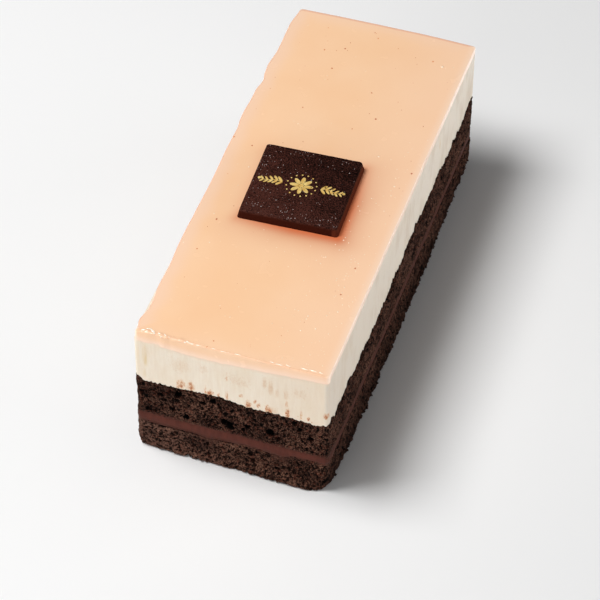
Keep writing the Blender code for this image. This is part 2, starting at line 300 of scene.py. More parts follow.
# where the layers meet, as rises over the frame's levels
seams = {
    "endMousse": [
        (-28, 1.1), (-25.6, -0.2), (-17.7, 0.0), (-3.7, 0.6), (6.5, -0.6), (14.9, -0.4), (25, -1.2), (28, -0.2)],
    "sideMousse": [
        (-72, -0.2), (-64, -0.6), (-45, -1.5), (-20, -2.3), (-10, -0.8), (10, 0.2), (32, 0.2), (44, -0.9), (60, -0.9),
        (72, 0.2)],
    "endCreamFloor": [
        (-28, 0.1), (-20, 0.0), (-11, -0.2), (-7, -0.6), (-2, 0.0), (10, -0.1), (14.5, -0.9), (19, 0.3), (28, 0.5)],
    "endCreamRoof": [(-28, -0.2), (-14, -0.4), (0, -0.2), (14, -0.5), (28, -0.3)],
    # how far the sponge stands out past the mousse on the right side, and its foot there and at the shown end
    "sideBulge": [(-72, 0.4), (-50, 0.55), (0, 0.6), (50, 0.6), (72, 0.7)],
    "sideFoot": [(-72, -0.3), (-66, 0.1), (-50, 0.5), (-20, 0.8), (20, 0.7), (45, 0.1), (66, -0.3), (72, -0.9)],
    "endFoot": [(-28, -0.3), (-25, 0.0), (-16, 0.5), (0, 0.8), (14, 1.4), (22, 1.5), (28, 0.7)],
    # how far the glaze runs down the shown end
    "glazeRun": [(-28, 1.7), (-25, 2.1), (-10, 3.0), (-4, 2.9), (1, 2.6), (9, 2.0), (17, 1.5), (26, 0.9), (28, 0.7)],
    # how far the smooth layers stand out at the far end and the right side
    "farOut": [(-28, 0.4), (-8, 0.8), (10, 0.9), (28, 0.5)], "rightOut": 0.35,
    # where a shadow lies under the cream at the shown end
    "creamLedge": [(-26, 0), (-23, 1), (-2, 1), (4, 0), (10, 0.4), (16, 0)],
}


def wander(place, depth, wave, seed):
    # the frame's own rise and fall of a seam
    return depth * noiseAt(place.x / wave, place.y / wave, seed)


def faceWave(place, out):
    # the slight unevenness of the smooth layers' cut faces
    end, right, far, left = sideShares(out)
    proud = far * along(seams["farOut"], place.x) + right * seams["rightOut"]
    return proud + wander(place, 0.1, 9, 0.5)


def jag(place, size, seed):
    # a torn edge: levels of -1 to 1 with steep steps between them
    spot = (place.x + place.y) / size
    number = math.floor(spot)
    here, following = (noiseAt(step * 3.7, seed, 0.5) for step in (number, number + 1))
    return 2 * (here + (following - here) * blendStep(0.6, 1.0, spot - number))


def fray(place, depth, size, seed):
    # finer raggedness of an edge
    spot = Vector((place.x / size, place.y / size, seed))
    return depth * (noise.noise(spot) + 0.6 * noise.noise(spot * 2.7))


def isShown(place):
    return place.y < 1 - halfLength


def onEnd(place):
    return 1 - blendStep(*cake["cornerTurn"], place.y + halfLength)


def onRight(place):
    return (1 - blendStep(*cake["cornerTurn"], halfWidth - place.x)) * (1 - onEnd(place))


def creamSeam(place, level, stops, frayed, frayedRight, size, seed, waveSeed):
    # shaped at the shown end, a slow wave elsewhere, and ragged all round
    end = onEnd(place)
    shaped = end * along(seams[stops], place.x) + fray(place, frayed + frayedRight * onRight(place), size, seed)
    return cake[level] + shaped + wander(place, 0.35, 9, waveSeed) * (1 - end)


def creamFloor(place):
    # the cream's underside, which is also the lower sponge's top
    return creamSeam(place, "creamLevel", "endCreamFloor", 0.22, 0.15, 1.1, 3, 1.3)


def creamRoof(place):
    return creamSeam(place, "upperLevel", "endCreamRoof", 0.2, 0.3, 0.9, 5, 7.7)


def mousseFloor(place):
    end = onEnd(place)
    right = onRight(place)
    shaped = end * along(seams["endMousse"], place.x) + right * along(seams["sideMousse"], place.y)
    shaped += wander(place, 0.75, 5.2, 4.1) * (1 - 0.6 * max(end, right))
    torn = 0.85 * jag(place, 2.1, 8.3) + 0.45 * jag(place, 0.83, 2.1) + fray(place, 0.7, 0.9, 9)
    cut = 0.16 * jag(place, 0.9, 5.2) + fray(place, 0.6, 0.8, 8)
    shaped += right * torn + (1 - right) * cut
    return cake["mousseLevel"] + shaped


def glazeRun(place):
    # only the shown end is covered; the sides were cut clean
    end = 1 - blendStep(0.6, 1.8, place.y + halfLength)
    return (along(seams["glazeRun"], place.x) + 0.25 * noiseAt(place.x / 1.7, 3, 1)) * end


def onRightSide(finish):
    # 1 on the right side, for a material, which measures in metres
    return finish.span(finish.part(0), 0.0268, 0.0278)


sponge = {
    "grid": 0.24, "corner": 1.4, "leftSpread": 0.7,
    "crag": 0.3, "cragSize": 3.0, "wallGrain": 0.06,
    # every pore is a ball that the cut opened: spacing, share of them there, radius, depth for its radius
    "pores": [(4.4, 0.3, 0.85, 1.2), (1.9, 0.45, 0.6, 1.1), (1.1, 1.0, 0.45, 1.2), (0.8, 0.95, 0.33, 1.2)],
    # large pores of the shown end: across, height, radius; and their depth for their radius
    "endPores": [
        (-15.9, 25.3, 1.0), (-5.6, 26.0, 0.8), (-2.4, 18.9, 0.9), (-0.9, 18.3, 1.0), (-0.2, 17.3, 0.7),
        (4.7, 19.5, 0.7), (11.6, 19.3, 1.15), (23.3, 20.9, 0.75), (-13.5, 17.0, 0.9), (20.1, 23.7, 0.7),
        (-7.5, 7.6, 0.65), (6.1, 5.5, 0.7), (-25.3, 16.4, 0.6), (3.2, 17.4, 0.6), (17.0, 6.4, 0.5)],
    "endPoreDepth": 1.9,
    # cream that the knife drew down over the lower sponge: across, half width, reach
    "film": [(-6.8, 4.2, 3.0), (14.3, 3.4, 3.0), (-20, 5, 1.2), (4, 4, 0.9)],
    "overCream": (0.011, 0.015),   # metres up, from the lower sponge to the upper one
}


def spongeFinish():
    finish = Finish("chocolate_sponge")
    pit = finish.mark("pit")
    film = finish.mark("film")
    grain = finish.noise(0.4, detail=4, rough=0.7)
    patches = finish.noise(7, detail=2)
    warm = finish.noise(1.1, shift=(3, 1, 2))
    up = finish.part(2)
    rightSide = onRightSide(finish)
    lower, upper = sponge["overCream"]
    # painted shade: fine pores between the modelled ones are painted dark, a little darker in the upper sponge; the
    # modelled pores are painted darker still on the right side
    fine = finish.span(finish.cells(0.6, shift=(5, 2, 1)), 0.22, 0.4, 1.0, 0.0) * (1 - film * 0.6)
    deep = finish.span(pit, 0.02, 0.3) * (1 + rightSide * 0.4) + fine * 0.7
    deep = (deep * finish.span(up, lower, upper, 0.9, 1.0)).held()
    left = finish.span(finish.part(0), -0.028, 0.004, 1.0, 0.0)
    walls = finish.coats(
        finish.fade(grain * 0.75 + patches * 0.25, 0.45, 0.61, (34, 18, 13), (127, 90, 74)),
        (finish.span(warm, 0.54, 0.66, 0.0, 0.5), (100, 50, 36)),
        # painted light and shade: towards the left the upper sponge is painted a little darker, the lower one a
        # little paler
        (left * finish.span(up, lower, upper, 0.24, 0.0), (150, 112, 98)),
        (left * finish.span(up, lower, upper, 0.0, 0.3), (30, 14, 10)))
    # painted shade: the open pores are painted near black, the deepest ones darkest
    pits = finish.coats(
        (8, 4, 3), (finish.span(warm, 0.5, 0.62, 0.0, 0.6), (54, 24, 15)), (finish.span(pit, 0.42, 0.7), (2, 1, 1)))
    colour = finish.coats(
        walls, (deep, pits), (film * 0.55, (76, 48, 40)),
        # painted shade: the right side is painted darker, most of all at its foot
        (rightSide * finish.span(up, 0.001, lower, 0.54, 0.1), (14, 6, 4)))
    return finish.dress(
        {"Base Color": colour, "Roughness": finish.span(grain, 0.3, 0.7, 0.74, 0.95),
         "Normal": finish.bump(grain * 0.6 - fine * 0.8, 0.42)},
        {"Specular IOR Level": 0.05})


def poreDepth(spot, size, share, radius, depth):
    distances, centres = noise.voronoi(spot / size)
    reach = distances[0] * size / radius
    if reach >= 1 or abs(noise.noise(centres[0] * 9.7)) > share * 0.5:
        return 0.0
    return depth * radius * math.sqrt(1 - reach * reach)


def crumbDepth(place, end):
    # how deep the open pores are at a point of the cut, which the knife dragged upright where it isn't the end
    spot = place + 0.3 * noise.noise_vector(place * 0.9) + 0.22 * noise.noise_vector(place * 2.8)
    dragged = Vector((spot.x, spot.y, spot.z * (0.62 + 0.38 * end)))
    depth = max(poreDepth(dragged, *pore) for pore in sponge["pores"]) * (0.75 + 0.25 * end)
    if isShown(place):
        for across, height, radius in sponge["endPores"]:
            reach = math.hypot((spot.x - across) * 0.95, (spot.z - height) * 0.8) / radius
            if reach < 1:
                depth = max(depth, sponge["endPoreDepth"] * radius * math.sqrt(1 - reach * reach))
    return depth


def creamFilm(place, height):
    film = 0.0
    for across, halfSpan, reach in sponge["film"] if isShown(place) else ():
        side = 1 - ((place.x - across) / halfSpan) ** 2
        down = 1 - (creamFloor(place) - height) / reach
        if side > 0 and down > 0:
            film = max(film, min(1.0, 1.5 * side) * min(1.0, 1.6 * down))
    return film


def footOut(place, out, height):
    # how far the foot stands out or in, and its rounding at the front right corner and underneath
    end, right, far, left = sideShares(out)
    toe = right * along(seams["sideFoot"], place.y) + end * along(seams["endFoot"], place.x) - 0.4 * (far + left)
    uneven = 0.3 * noiseAt(3, place.y / 1.4, height / 2) + 0.35 * noiseAt(7, place.y / 4, 1)
    corner = max(0.0, 1 - math.hypot(halfWidth - place.x, halfLength + place.y) / 4.4)
    toe += right * uneven - 1.9 * corner ** 2
    return toe * (1 - blendStep(0, 4.5, height)) - 0.5 * (1 - blendStep(0, 0.6, height))


def spongeWall(place, out, floor, roof, height, foot):
    # how far the crumb stands out at a height, how deep its open pore is, and how much cream was drawn over it
    spot = Vector((place.x, place.y, height))
    end, right, far, left = sideShares(out)
    film = creamFilm(place, height) if foot else 0.0
    calm = blendStep(0, 1.0, roof - height) * (1 if foot else blendStep(0, 0.8, height - floor))
    pit = crumbDepth(spot, end) * (1 - 0.6 * film) * (0.5 + 0.5 * calm)
    crag = noise.noise(spot / sponge["cragSize"]) + 0.5 * noise.noise(spot * 2.3 / sponge["cragSize"])
    proud = sponge["crag"] * crag * (0.35 + 0.65 * calm) + sponge["wallGrain"] * noise.noise(spot / 0.45)
    proud += right * along(seams["sideBulge"], place.y) - 0.12 * end * (1 - calm)
    shade = 0.0
    if foot:
        proud += footOut(place, out, height) + 0.25 * right * noise.noise(spot / 1.2) * (1 - blendStep(2, 7, height))
        shade = end * blendStep(1.1, 0.3, roof - height) * along(seams["creamLedge"], place.x)
    else:
        # torn bits stand up before the mousse
        proud += right * (1 - blendStep(0, 1.1, roof - height)) * (0.2 + 0.5 * jag(place, 1.7, 3.3))
    return proud - pit - 0.4 * shade, min(1.0, max(pit / 1.2, 0.6 * shade)), film


def spongeBody(low, high, foot):
    columns = cutLine(sponge)
    tall = cake["creamLevel"] if foot else cake["mousseLevel"] - cake["upperLevel"]
    rows = round(tall / sponge["grid"])
    ends = [(low(place), high(place)) for place, out in columns]

    def wall(row, number, place, out):
        floor, roof = ends[number]
        height = floor + (roof - floor) * row / rows
        proud, pit, film = spongeWall(place, out, floor, roof, height, foot)
        return Vector((place.x, place.y, height)) + proud * out, {"pit": pit, "film": film}

    middle = Vector((0, 0, 0))
    return layerBody(columns, range(rows + 1), wall, low(middle), high(middle))


spongeMaterial = spongeFinish()
for name, low, high, foot in (("lower_sponge", lambda place: 0.0, creamFloor, True),
                              ("upper_sponge", creamRoof, mousseFloor, False)):
    keepPiece(name + "_crumb", spongeBody(low, high, foot), spongeMaterial, [name])
print("sponges done")


# crumbs that hang on the cuts and the foot
crumbs = {
    "seed": 11, "count": 240,
    # share of them, height from and to, radius from and to: along the right foot, wall and seam, and the end's foot
    "rightFoot": (0.4, 0.2, 2.6, 0.2, 0.5), "rightWall": (0.26, 2.0, 12.0, 0.15, 0.4),
    "rightSeam": (0.2, 27.0, 28.6, 0.2, 0.6), "endFoot": (0.12, 0.15, 1.2, 0.15, 0.4),
}


def makeCrumbs():
    draw = random.Random(crumbs["seed"])
    body = bmesh.new()
    pit = body.verts.layers.float.new("pit")
    body.verts.layers.float.new("film")
    for group in ("rightFoot", "rightWall", "rightSeam", "endFoot"):
        share, lowest, highest, smallest, largest = crumbs[group]
        for number in range(round(share * crumbs["count"])):
            if group == "endFoot":
                place, out = Vector((draw.uniform(-26, 24), -halfLength, 0)), Vector((0, -1, 0))
            else:
                place, out = Vector((halfWidth, draw.uniform(-68, 70), 0)), Vector((1, 0, 0))
            height = draw.uniform(lowest, highest)
            radius = draw.uniform(smallest, largest) * draw.uniform(0.6, 1.0)
            seam = group == "rightSeam"
            if seam:
                height = mousseFloor(place) - draw.uniform(0, 0.5)
            floor, roof = (creamRoof(place), mousseFloor(place)) if seam else (0.0, creamFloor(place))
            proud, depth, film = spongeWall(place, out, floor, roof, height, not seam)
            centre = Vector((place.x, place.y, max(height, radius * 0.75))) + (proud + 0.3 * radius) * out
            made = bmesh.ops.create_icosphere(body, subdivisions=2, radius=radius)["verts"]
            for vert in made:
                lump = 1 + 0.55 * noise.noise(vert.co / radius * 1.3 + Vector((number, share * 90, 0)))
                vert.co = vert.co * lump
                # painted shade: each crumb's dents are painted darker through its pit mark
                vert[pit] = max(0.0, min(1.0, 0.6 - 0.5 * lump))
            bmesh.ops.scale(body, vec=(1, draw.uniform(0.7, 1.2), draw.uniform(0.6, 1.0)), verts=made)
            bmesh.ops.translate(body, vec=centre, verts=made)
    keepPiece("crumb_scatter", body, spongeMaterial)


makeCrumbs()
print("crumbs done")


# the cream reaches into both sponges by its overlap, and is crumbed near a seam and off the shown end
cream = {"grid": 0.4, "rows": 9, "corner": 1.4, "leftSpread": 0.8, "overlap": 0.7}


def creamFinish():
    finish = Finish("chocolate_cream")
    crumbed = finish.mark("crumbed")
    drags = finish.noise(1.1, stretch=(1, 1, 0.2))
    grain = finish.noise(0.45, detail=4)
    colour = finish.fade(drags, 0.3, 0.7, (78, 38, 29), (92, 48, 38))
    crumb = finish.fade(grain, 0.4, 0.62, (46, 26, 20), (84, 54, 44))
    colour = finish.mix((crumbed * finish.span(grain, 0.2, 0.5)).held(), colour, crumb)
    return finish.dress(
        {"Base Color": colour, "Roughness": finish.span(drags, 0.3, 0.7, 0.5, 0.66),
         "Normal": finish.bump(drags * 0.6 + grain * (0.25 + crumbed), 0.1)},
        {"Specular IOR Level": 0.08})


def creamWall(share, number, place, out):
    end, right, far, left = sideShares(out)
    low = creamFloor(place) - cream["overlap"]
    high = creamRoof(place) + cream["overlap"]
    spot = Vector((place.x, place.y, low + (high - low) * share))
    nearSeam = 1 - blendStep(0, 0.7 + 0.5 * right, min(spot.z - low, high - spot.z) - cream["overlap"])
    proud = 0.02 + 0.55 * right + 0.06 * noise.noise(spot * 0.8) - 0.25 * nearSeam
    proud += 0.12 * right * noise.noise(spot / 0.8)
    crumbed = min(1.0, (0.5 + 0.5 * nearSeam) * (right + left + far) + 0.5 * end * nearSeam)
    return spot + proud * out, {"crumbed": crumbed}


body = layerBody(cutLine(cream), [row / cream["rows"] for row in range(cream["rows"] + 1)], creamWall,
                 cake["creamLevel"], cake["upperLevel"])
keepPiece("cream_band", body, creamFinish(), ["chocolate_cream"])
print("cream done")


mousse = {
    "grid": 0.4, "corner": 0.9, "leftSpread": 0.4,
    # heights of the rings over the seam
    "rises": [
        -0.9, -0.55, -0.35, -0.2, -0.1, 0.0, 0.12, 0.28, 0.5, 0.8, 1.1, 1.4, 1.7, 2.0, 2.3, 2.6, 2.9, 3.2, 3.5, 3.8,
        4.1, 4.5, 4.9, 5.4, 6, 6.7, 7.5, 8.4, 9.4, 10.4, 11.4, 12.4, 13.4, 14.6],
    # crumb that the knife drew up over the shown end: across, half width, from and to over the seam, strength
    "smears": [
        (-15.6, 0.7, -0.4, 4.4, 0.8), (-14.7, 0.8, 0.0, 4.7, 0.9), (-13.9, 0.5, 1.0, 4.0, 0.6),
        (-11.9, 0.8, -0.4, 4.9, 1.0), (-11.2, 0.4, 0.8, 3.6, 0.7), (-7.6, 0.5, -0.3, 4.2, 0.6),
        (-6.5, 0.9, -0.5, 2.7, 1.0), (-5.6, 0.6, 0.3, 2.4, 0.85), (-3.7, 0.5, -0.4, 1.9, 0.8),
        (-1.2, 0.5, -0.3, 4.5, 0.8), (-1.2, 0.5, 7.9, 11.0, 0.5), (2.8, 0.8, 3.3, 5.0, 0.65),
        (4.7, 0.8, -0.5, 3.8, 0.95), (5.5, 0.6, 0.0, 2.6, 0.9), (7.0, 0.5, 2.7, 4.4, 0.9), (8.0, 0.6, 1.3, 3.4, 1.0),
        (10.4, 0.8, -0.2, 3.6, 0.85), (11.4, 0.8, -0.5, 2.8, 1.0), (16.4, 0.8, -0.5, 4.4, 1.05),
        (16.2, 0.5, 3.8, 8.0, 0.55), (20.4, 0.4, 0.3, 4.8, 0.7), (22.5, 0.6, 1.1, 2.9, 1.0),
        (23.6, 0.3, 0.8, 1.6, 0.9), (19.4, 0.3, 1.6, 2.4, 0.8), (27.5, 0.7, 3.0, 5.8, 1.0)],
    # paler clouds of the same
    "clouds": [
        (9.8, 0.8, 9.0, 15.5, 0.4), (11.6, 1.0, 7.0, 14.3, 0.42), (13.4, 0.8, 6.5, 11.5, 0.3), (-15, 4, 6, 14, 0.2),
        (2, 5, 7, 13, 0.22), (20, 3, 9, 14, 0.25), (16, 1.0, 7, 12, 0.3), (-8, 2, 8, 13, 0.2),
        (-12, 2.2, -0.5, 4, 0.3), (12, 2.6, -0.5, 3.5, 0.3)],
    # yolk-yellow streaks
    "yolk": [(-25.2, 0.8, 6.0, 15.5, 0.9), (-25.6, 0.6, 1.5, 6.0, 0.4), (-27.3, 0.5, 1.0, 15.0, 0.35)],
    "sideStreak": (34.3, 0.5, 8.6, 15.4, 0.75),   # another one, along the right side
}


def mousseFinish():
    finish = Finish("cheese_mousse")
    streaks = finish.noise(0.9, stretch=(1, 1, 0.12))
    veils = finish.noise(6, stretch=(1, 1, 0.5))
    grain = finish.noise(0.3, detail=2)
    flecks = finish.noise(0.5, detail=5, rough=0.8, stretch=(1, 1, 0.5)) - 0.5
    rightSide = onRightSide(finish)
    cloud = finish.mark("cloud") * 1.5 + flecks * 1.4
    smear = finish.mark("smear") * (0.65 + flecks * 3.2) + flecks * 0.9
    drawn = finish.span(streaks * 0.25 + veils * 0.75, 0.47, 0.62, 0.0, 0.6)
    colour = finish.coats(
        finish.fade(streaks, 0.3, 0.7, (234, 219, 199), (240, 228, 210)),
        (finish.span(veils, 0.45, 0.75, 0.0, 0.5), (229, 209, 182)),
        (finish.span(finish.part(0), 0.004, 0.024, 0.0, 0.3), (224, 200, 172)),
        # painted light and shade: the right side is painted paler, in the cool tone of light thrown back onto it, and
        # darker towards its near end; what the knife drew down it is its own streaking
        (rightSide * 0.7, (240, 230, 216)),
        (rightSide * finish.span(finish.part(1), -0.072, 0.02, 0.5, 0.0), (214, 200, 182)),
        (drawn * rightSide, (218, 201, 180)),
        (finish.mark("yolk") * finish.span(streaks, 0.35, 0.6), (220, 190, 132)),
        (finish.span(cloud, 0.12, 0.7, 0.0, 0.65), (214, 176, 138)),
        (finish.span(smear, 0.08, 0.45, 0.0, 0.8), (220, 170, 124)),
        (finish.span(smear, 0.36, 0.8, 0.0, 0.92), (172, 94, 52)),
        (finish.mark("veil"), (246, 218, 194)))
    return finish.dress(
        {"Base Color": colour, "Roughness": finish.span(streaks, 0.3, 0.7, 0.5, 0.62),
         "Normal": finish.bump(streaks + grain * 0.3, 0.06)},
        {"Specular IOR Level": 0.3, "Subsurface Weight": 0.12, "Subsurface Scale": 0.003,
         "Subsurface Radius": (1.0, 0.8, 0.6)})


def streakAt(streaks, across, rise):
    strongest = 0.0
    for centre, halfSpan, low, high, strength in streaks:
        side = 1 - abs(across - centre) / halfSpan
        if side > 0 and low < rise < high:
            upDown = min(1.0, 3 * (rise - low + 0.3) / (high - low), 2.2 * (high - rise) / (high - low))
            strongest = max(strongest, strength * min(1.0, 1.6 * side) * max(0.0, upDown))
    return strongest


def mousseWall(rise, number, place, out):
    seam = mousseFloor(place)
    reach = cake["glazeLevel"] + 1 - seam
    up = rise if rise < 1 else 1 + (rise - 1) * (reach - 1) / (mousse["rises"][-1] - 1)
    spot = Vector((place.x, place.y, seam + up))
    proud = faceWave(place, out) + 0.04 * noise.noise(Vector((spot.x, spot.y, spot.z * 0.1)) * 1.5)
    proud -= 0.55 * (1 - blendStep(-0.3, 0.25, up))
    proud -= 0.4 * blendStep(0.35, 0.9, spot.z - cake["glazeLevel"] + glazeRun(place))
    smear, cloud, yolk = (
        streakAt(mousse[name], place.x, up) if isShown(place) else 0.0 for name in ("smears", "clouds", "yolk"))
    if place.x > halfWidth - 1:
        yolk = max(yolk, streakAt([mousse["sideStreak"]], place.y + 0.12 * (up - 12), up))
    # the glaze's colour thins out under its lip
    lipDrop = cake["glazeLevel"] - glazeRun(place) - spot.z
    veil = 0.55 * (1 - blendStep(-0.2, 1.3, lipDrop)) * onEnd(place)
    return spot + proud * out, {"smear": smear, "cloud": cloud, "yolk": yolk, "veil": veil}


body = layerBody(cutLine(mousse), mousse["rises"], mousseWall, cake["mousseLevel"], cake["glazeLevel"] - 0.3)
keepPiece("mousse_block", body, mousseFinish(), ["cheese_mousse"])
print("mousse done")


glaze = {
    "grid": 0.4, "corner": 0.9, "sideRings": 7, "rollRings": 7, "topRings": 26,
    # how wide and how high its top edge rolls over: shown end, right side, far end, left side
    "rollWide": (0.34, 0.2, 1.3, 0.7), "rollHigh": (0.32, 0.2, 0.8, 0.6),
    # how much wider the shown end's roll is towards the left
    "softLeft": [(-28, 0.9), (-22, 0.7), (-13, 0.3), (-7, 0.0)],
    "leftEdge": [
        (-71.4, -0.6), (-67.6, 0.1), (-63, -0.7), (-60.5, -0.8), (-53, -0.3), (-47, -0.4), (-36, 0.2), (-17, 0.1),
        (14, 0.5), (20, 1.0), (32, 0.9), (37, 0.2), (40.4, 0.8), (44.5, 1.1), (52, 0.5), (64, 0.9), (71.5, 0.1)],
    # wet lumps on the rolled edge: across, along, radius, height
    "lumps": [
        (-24.4, -71.1, 0.7, 0.2), (-22.6, -71.6, 0.6, 0.2), (-20.3, -71.4, 0.6, 0.2), (-18.6, -71.8, 0.7, 0.2),
        (-14.2, -71.6, 0.7, 0.25), (-8.0, -71.6, 0.9, 0.08), (9.1, -71.8, 1.0, 0.08)],
    # the runs and dashes that glint there: across, along, half length, half width, turn in degrees
    "glints": [
        (-25.5, -71.2, 0.7, 0.24, 25), (-24.3, -70.5, 0.7, 0.24, 12), (-23.3, -70.7, 0.8, 0.28, -50),
        (-22.5, -71.2, 0.8, 0.28, -60), (-24.4, -71.3, 0.4, 0.2, 0), (-20.9, -71.2, 0.45, 0.2, 20),
        (-19.9, -71.8, 0.7, 0.2, 50), (-19.1, -71.3, 0.7, 0.2, -40), (-18.1, -71.6, 0.5, 0.2, 10),
        (-14.4, -71.5, 0.8, 0.34, 15), (-13.3, -71.8, 0.5, 0.22, -20), (-12.6, -71.5, 0.4, 0.2, 0),
        (-11.7, -71.8, 1.1, 0.14, -2), (-9.3, -71.8, 0.9, 0.13, -3), (-5.0, -71.7, 0.9, 0.14, -2),
        (-2.2, -71.8, 1.3, 0.14, -2), (2.0, -71.6, 1.2, 0.13, -4), (4.2, -71.7, 1.4, 0.15, -3),
        (7.6, -71.7, 0.8, 0.15, -4), (9.4, -71.6, 0.9, 0.2, -3), (11.9, -71.4, 0.7, 0.13, 0),
        (13.9, -71.5, 1.3, 0.15, -3), (16.4, -71.2, 0.7, 0.12, 3), (20.9, -70.9, 1.1, 0.13, -3),
        (23.4, -70.8, 1.2, 0.14, -3), (25.7, -70.9, 0.6, 0.1, 0)],
    # dark specks and pale bubbles on the top: across, along, radius; and how many small ones are strewn between
    "specks": [
        (9.2, 30.9, 0.3), (26.1, 11.9, 0.28), (-10.1, 48.3, 0.28), (-28.0, 10.2, 0.3), (-21.2, -24.0, 0.3),
        (-22.4, -37.0, 0.24), (22.3, -30.1, 0.28), (21.6, -41.1, 0.26), (4.6, 41.6, 0.24), (3.9, 24.6, 0.2),
        (-21.7, 8.3, 0.26), (-12.9, 28.9, 0.22), (-6.9, -71.6, 0.26), (-5.9, -69.0, 0.22), (17.9, 61.1, 0.3),
        (-14.9, 55.7, 0.26), (-9.1, 58.2, 0.26), (-1.0, 66.0, 0.24), (-2.7, 68.2, 0.2), (-17.0, 65.8, 0.17),
        (6.2, 63.4, 0.17), (-8.4, 61.3, 0.16)],
    "bubbles": [
        (14.9, 15.7, 0.32), (23.0, 5.1, 0.3), (22.3, 8.5, 0.22), (15.8, -20.5, 0.24), (-19.6, -0.6, 0.24),
        (-26.9, -35.8, 0.22), (-19.9, -33.5, 0.2), (-22.6, -22.1, 0.2), (-11.9, 21.6, 0.22), (13.1, -28.5, 0.22),
        (12.5, -31.4, 0.22), (15.6, -51.8, 0.26), (22.9, -47.7, 0.26), (15.4, -57.7, 0.24), (15.5, -53.0, 0.2),
        (19.1, -55.8, 0.28), (20.7, -33.7, 0.2), (21.7, -38.1, 0.22), (23.3, -44.7, 0.2), (21.3, 59.6, 0.42)],
    "seed": 5, "smallSpecks": 46, "smallBubbles": 170,
}
plaque = {
    "half": 15.0, "height": 2.8, "draft": 0.55, "corner": 0.85, "edge": 0.2, "foot": 0.15, "grid": 0.36,
    "place": (-1.7, -5.95), "turn": 2.6, "sunk": 0.03,
}


def glazeFinish():
    finish = Finish("peach_glaze")
    beads = finish.noise(1.6, detail=2, stretch=(1, 0.4, 0.4))
    clouds = finish.noise(22, detail=2)
    waves = finish.noise(6, detail=2)
    # painted shade round the tablet, tinted orange as light through the jelly tints its shadow, deepest at its front
    # and right
    turn = math.radians(-plaque["turn"])
    shift = Matrix.Rotation(turn, 3, "Z") @ Vector((*plaque["place"], 0)) * -0.001
    spot = finish.add("ShaderNodeMapping", inputs={
        "Vector": finish.place, "Location": shift, "Rotation": (0, 0, turn)})
    across, onward = (finish.part(number, spot) for number in (0, 1))
    half = plaque["half"] * 0.001
    over = [part.math("MAXIMUM", part.math("ABSOLUTE", part) - half, 0.0) for part in (across, onward)]
    away = finish.add("ShaderNodeMath", {"operation": "SQRT"}, {0: over[0] * over[0] + over[1] * over[1]})
    glow = finish.span(away, 0.0, 0.004, 1.0, 0.0)
    halo = finish.add("ShaderNodeMath", {"operation": "EXPONENT"}, {0: away * -270})
    facing = finish.span(across - onward, -0.006, 0.018, 0.15, 1.08)
    under = (glow * glow * facing).held()
    # the rolled edge at the shown end glints only in places
    roll = finish.mark("roll")
    dull = roll * finish.span(beads, 0.44, 0.58, 1.0, 0.0)
    colour = finish.coats(
        finish.fade(clouds, 0.3, 0.7, (251, 204, 161), (253, 210, 170)),
        (finish.span(finish.part(0), 0.0, 0.028, 0.0, 0.6), (255, 213, 180)),
        ((halo * facing).held(), (202, 110, 68)), (under * 0.8, (206, 112, 72)),
        (finish.mark("edge"), (250, 211, 182)), (finish.mark("rim"), (238, 186, 156)),
        # painted shade: the rolled edge is painted darker where the lamps light it most; painted light: the pale cut
        # colour stands for light through the thin jelly at the right side
        (finish.mark("lip"), (255, 222, 198)), (roll * 0.8, (240, 192, 155)), (finish.mark("cut"), (255, 232, 214)))
    # painted light: an emission stands for the light that comes through the thin cut side, and from below round the
    # tablet
    light = finish.mix(finish.mark("side"), finish.mix(under, (0, 0, 0), (160, 84, 52)), (222, 188, 166))
    return finish.dress(
        {"Base Color": colour, "Roughness": finish.span(waves, 0.3, 0.7, 0.2, 0.28) + dull * 0.4,
         "Normal": finish.bump(waves, 0.02), "Coat Weight": 0.2 * (1 - dull), "Emission Color": light},
        {"Specular IOR Level": 0.4, "Coat Roughness": 0.1, "Emission Strength": 0.3})


def glazeTop(across, onward):
    # the height of the glaze's top
    return cake["topLevel"] + 0.04 * noiseAt(across / 11, onward / 11, 2)


def wetLumps(spot):
    rise = 0.0
    for across, onward, radius, height in glaze["lumps"]:
        reach = math.hypot(spot.x - across, (spot.y - onward) * 1.3) / radius
        if reach < 2.5:
            rise += height * math.exp(-reach * reach)
    return rise


def shared(values, shares):
    return sum(value * share for value, share in zip(values, shares))


